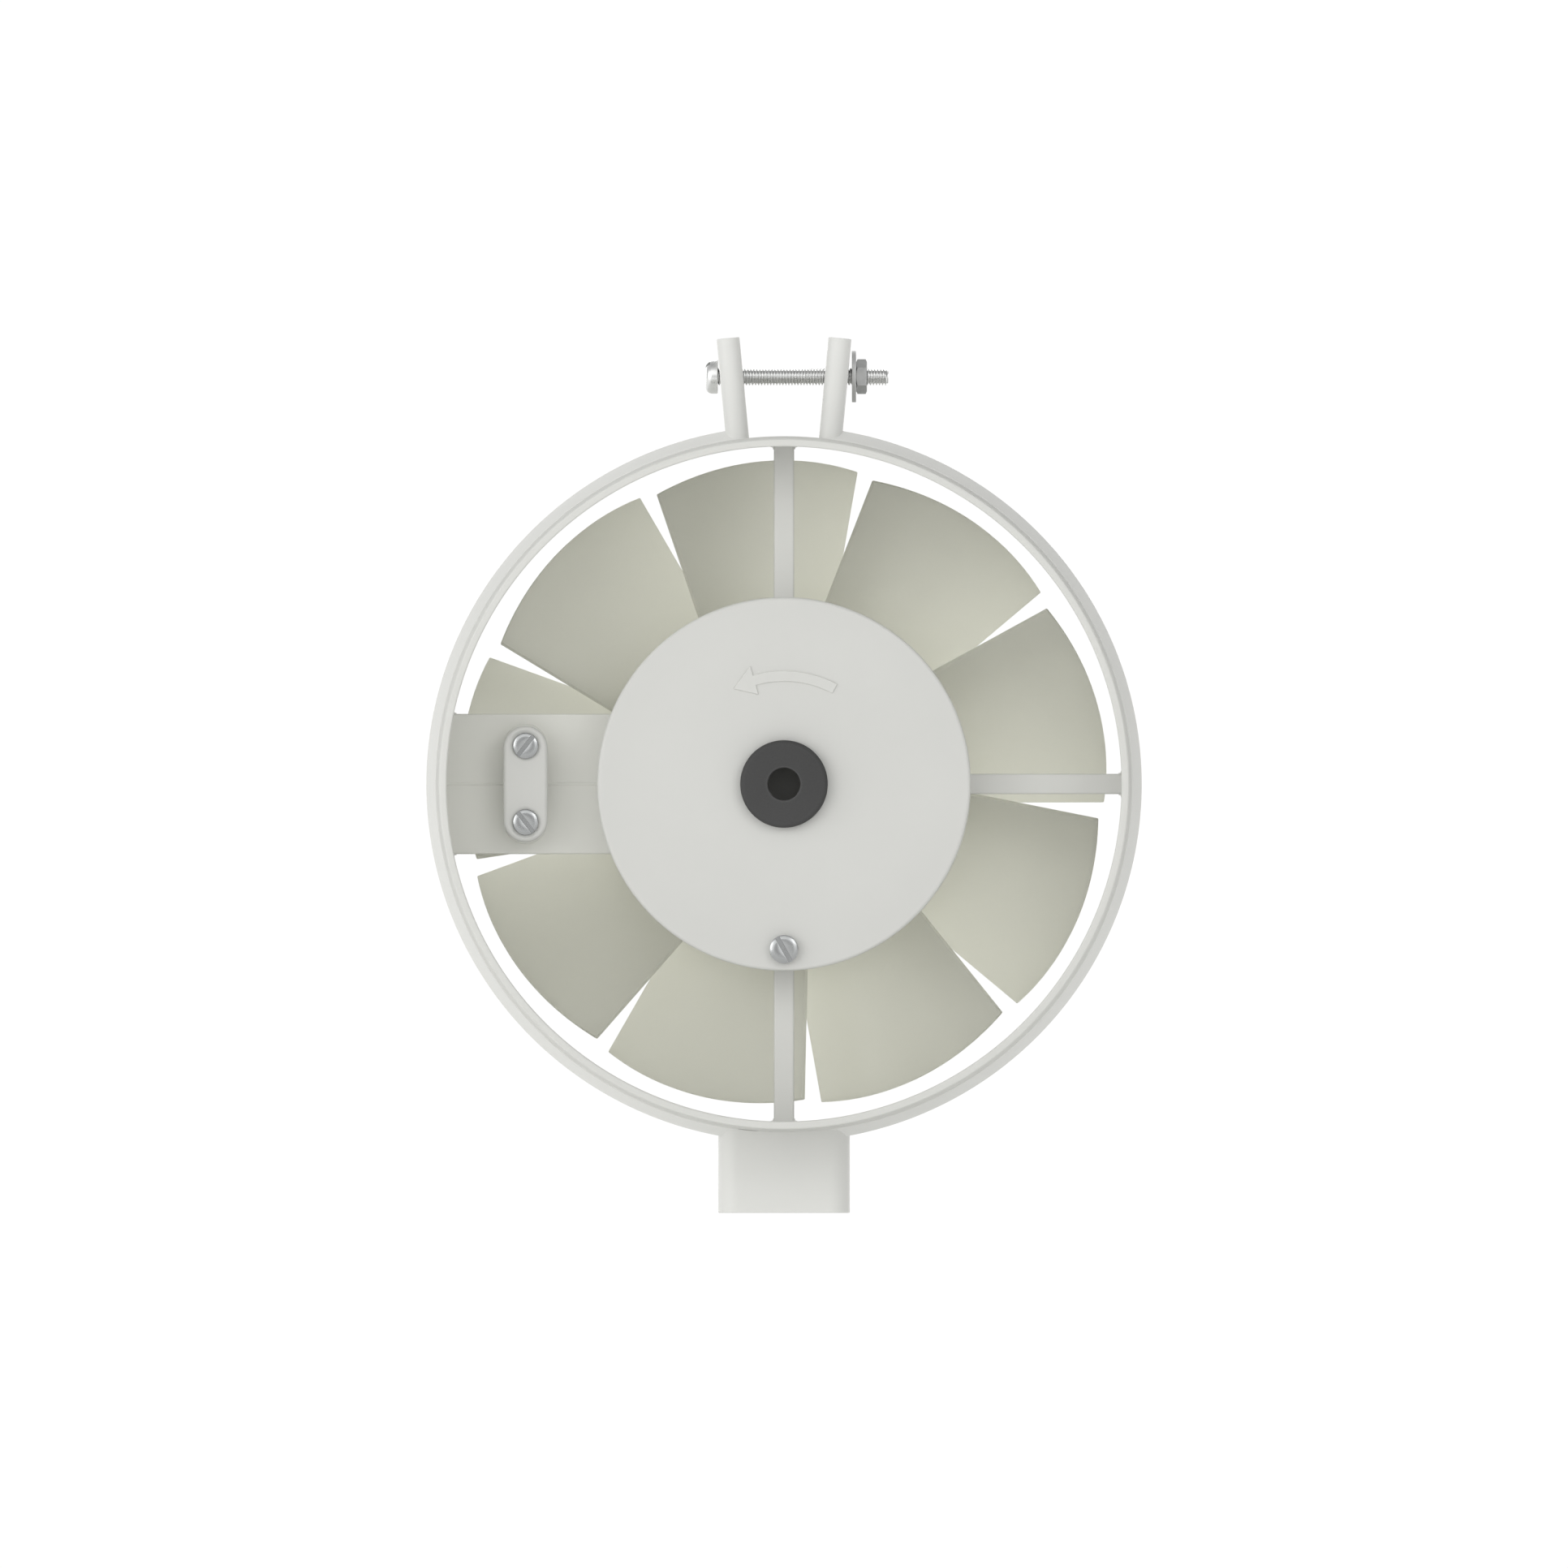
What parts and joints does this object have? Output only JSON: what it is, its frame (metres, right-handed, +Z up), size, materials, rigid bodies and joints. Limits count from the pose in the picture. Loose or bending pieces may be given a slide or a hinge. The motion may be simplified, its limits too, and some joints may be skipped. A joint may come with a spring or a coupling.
{
  "type": "in-line axial duct fan",
  "caption": "In-line axial duct fan: motor housing on three spokes and a cable arm inside a round tube, bladed impeller behind it, held in a bolted clamp ring with a foot.",
  "frame": {"origin": "middle of the foot's bottom face", "axes": "+Z up from the foot to the clamp bolt; +Y along the air path from the motor cover to the impeller; +X towards the nut of the clamp bolt"},
  "size_m": [0.1658, 0.11, 0.203],
  "materials": {
    "housing_plastic": "fine satin moulding",
    "bracket_plastic": "satin moulding",
    "impeller_plastic": "satin moulding, warm grey",
    "grommet_rubber": "matt black",
    "bolt_steel": "bright zinc plate",
    "nut_steel": "dull zinc plate",
    "screw_steel": "bright zinc plate",
    "lamination_steel": "stacked sheet edges",
    "shaft_steel": "ground",
    "bracket_zinc": "as cast",
    "end_ring_metal": "die cast",
    "copper": "enamelled wire",
    "brass": "turned",
    "bush_bronze": "sintered",
    "nylon": "natural",
    "cap_plastic": "black moulding",
    "live_sleeve": "brown insulation",
    "neutral_sleeve": "blue insulation",
    "seal_felt": "grey felt"
  },
  "bodies": {
    "bracket": {"clamp_collar": "bracket_plastic", "clamp_bolt": "bolt_steel"},
    "fan": {"fan_housing": "housing_plastic", "motor_cover": "housing_plastic", "cover_gasket": "grommet_rubber", "cable_grommet": "grommet_rubber", "cover_screw": "screw_steel", "cable_clamp": "housing_plastic", "cable_clamp_screws": "screw_steel", "stator_core": "lamination_steel", "coil_bobbin": "nylon", "coil_winding": "copper", "shading_rings": "copper", "thermal_fuse": "nylon", "front_bearing_bracket": "bracket_zinc", "rear_bearing_bracket": "bracket_zinc", "bearing_bushes": "bush_bronze", "bush_retainers": "screw_steel", "bearing_cap": "cap_plastic", "motor_screws": "screw_steel", "brass_inserts": "brass", "motor_isolators": "grommet_rubber", "shaft_seal": "seal_felt", "terminal_block": "nylon", "terminal_barrels": "brass", "terminal_screws": "screw_steel", "terminal_block_screws": "screw_steel", "live_lead": "live_sleeve", "neutral_lead": "neutral_sleeve"},
    "rotor": {"rotor_core": "lamination_steel", "rotor_end_rings": "end_ring_metal", "motor_shaft": "shaft_steel", "thrust_washers": "nylon", "impeller": "impeller_plastic", "drive_pin": "shaft_steel", "impeller_washer": "screw_steel", "impeller_nut": "screw_steel"},
    "washer": {"clamp_washer": "nut_steel"},
    "nut": {"clamp_nut": "nut_steel"}
  },
  "joints": [
    {"name": "fan_turn", "type": "hinge", "parent": "bracket", "child": "fan", "pos_m": [0, 0, 0.0994], "axis": [0, -1, 0], "continuous": true},
    {"name": "impeller_spin", "type": "hinge", "parent": "fan", "child": "rotor", "pos_m": [0, 0, 0.0994], "axis": [0, -1, 0], "continuous": true},
    {"name": "washer_slide", "type": "slide", "parent": "bracket", "child": "washer", "axis": [1, 0, 0], "range_m": [0, 0.0048]},
    {"name": "nut_turn", "type": "hinge", "parent": "washer", "child": "nut", "pos_m": [0.0166, 0, 0.1938], "axis": [1, 0, 0], "range_deg": [0, 2520]}
  ],
  "couplings": [
    {"joint": "nut_turn", "follows": "washer_slide", "rad_per_m": 8976}
  ]
}
